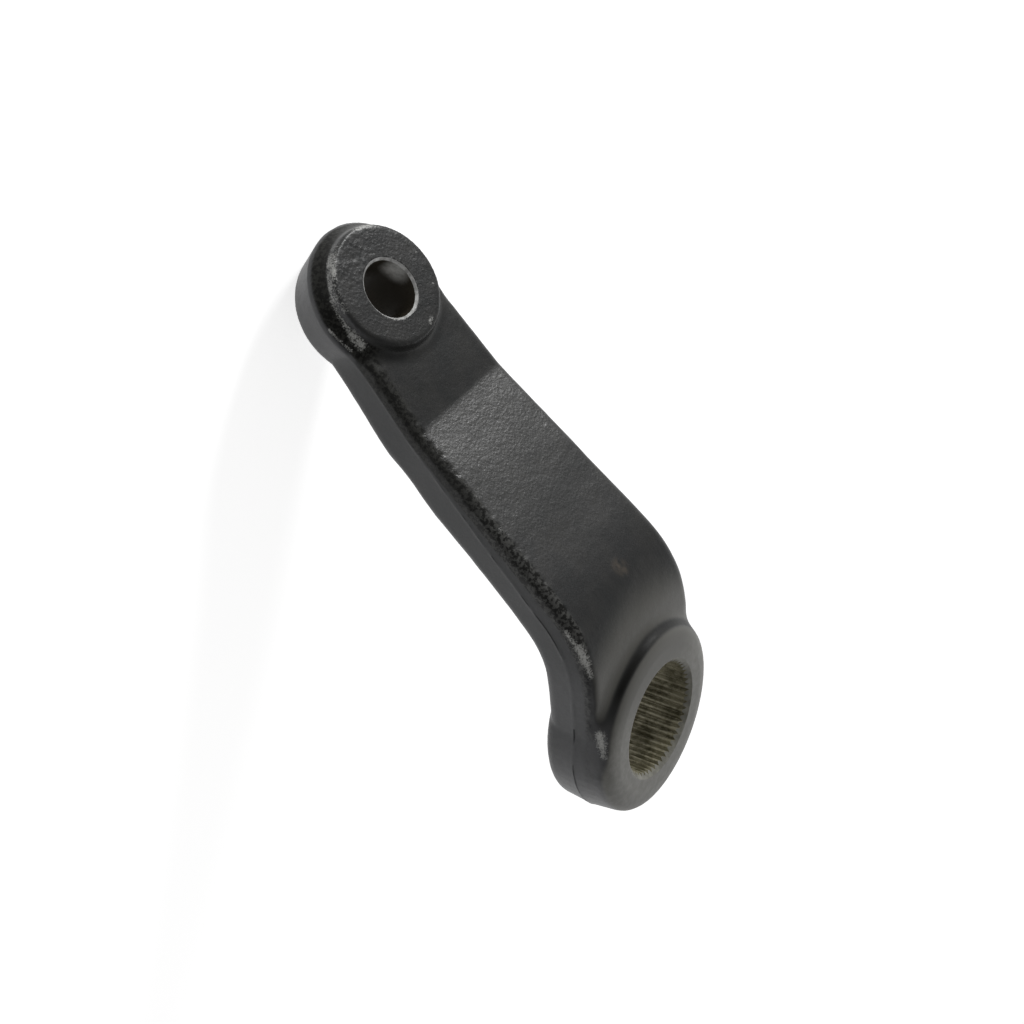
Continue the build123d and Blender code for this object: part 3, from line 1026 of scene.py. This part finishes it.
def floor_white():
    """A pale floor that the camera and mirror rays see as white, and that keeps the object's shadow."""
    make = Nodes("floor")
    path = make.add("ShaderNodeLightPath").outputs
    seen = make.math("MULTIPLY_ADD", path["Is Camera Ray"], FLOOR_SEEN, 0)
    seen = make.math("MULTIPLY_ADD", path["Is Glossy Ray"], FLOOR_MIRRORED, seen)
    seen = make.math("MULTIPLY_ADD", path["Is Transmission Ray"], FLOOR_MIRRORED, seen)
    make.give(Base_Color=FLOOR_COLOUR, Roughness=1, Specular_IOR_Level=0)
    make.give(Emission_Color=WHITE, Emission_Strength=seen)
    return make.material


def build_stage():
    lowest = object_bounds()[0][2]
    shape = bmesh.new()
    bmesh.ops.create_grid(shape, x_segments=1, y_segments=1, size=FLOOR_HALF_SIZE)
    floor = object_from("floor", shape)
    floor.location = (0, 0, lowest - FLOOR_GAP)
    floor.data.materials.append(floor_white())


def build_world(back):
    """White to the camera. It lights the object as a pale backdrop behind it and a dim room before it."""
    world = bpy.data.worlds.new("studio")
    bpy.context.scene.world = world
    world.use_nodes = True
    nodes, links = world.node_tree.nodes, world.node_tree.links
    nodes.clear()
    place = nodes.new("ShaderNodeTexCoord")
    facing = nodes.new("ShaderNodeVectorMath")
    facing.operation = "DOT_PRODUCT"
    facing.inputs[1].default_value = back
    links.new(place.outputs["Generated"], facing.inputs[0])
    level = nodes.new("ShaderNodeMapRange")
    level.interpolation_type = "SMOOTHSTEP"
    ends = zip(("From Min", "From Max", "To Min", "To Max"), (*WORLD_TURN, WORLD_BEHIND, WORLD_BEFORE))
    for key, number in ends:
        level.inputs[key].default_value = number
    links.new(facing.outputs["Value"], level.inputs["Value"])
    fill, seen = (nodes.new("ShaderNodeBackground") for _ in range(2))
    for background in (fill, seen):
        background.inputs["Color"].default_value = WHITE
    links.new(level.outputs["Result"], fill.inputs["Strength"])
    path = nodes.new("ShaderNodeLightPath")
    mixer = nodes.new("ShaderNodeMixShader")
    links.new(path.outputs["Is Camera Ray"], mixer.inputs[0])
    links.new(fill.outputs[0], mixer.inputs[1])
    links.new(seen.outputs[0], mixer.inputs[2])
    links.new(mixer.outputs[0], nodes.new("ShaderNodeOutputWorld").inputs[0])


def build_camera(axes):
    """The photograph's viewpoint, found from its two round ends and its outline."""
    data = bpy.data.cameras.new("camera")
    data.sensor_width = SENSOR_WIDTH
    data.lens = LENS
    data.clip_start = CLIP_START
    camera = new_object("camera", data)
    camera.matrix_world = Matrix.Translation(Vector(CAMERA_PLACE)) @ Matrix(axes).transposed().to_4x4()
    bpy.context.scene.camera = camera


def build_key(axes):
    data = bpy.data.lights.new("key", "AREA")
    data.shape = "DISK"
    data.size = KEY_SIZE
    data.energy = KEY_POWER
    light = new_object("key", data)
    direction = sum((axis * share for axis, share in zip(axes, KEY_DIRECTION)), Vector()).normalized()
    light.location = Vector(KEY_TARGET) + direction * KEY_DISTANCE
    light.rotation_euler = (-direction).to_track_quat("-Z", "Y").to_euler()


bpy.context.scene.view_settings.view_transform = "Standard"
arm = forged_blank()
shape_skin(arm)
cut_holes(arm)
mark_regions(arm.data)
give_materials(arm)
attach(arm, "root")
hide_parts("pitman_arm")
build_stage()
camera_axes = [Vector(row) for row in CAMERA_AXES]
build_camera(camera_axes)
build_world(camera_axes[2])
build_key(camera_axes)
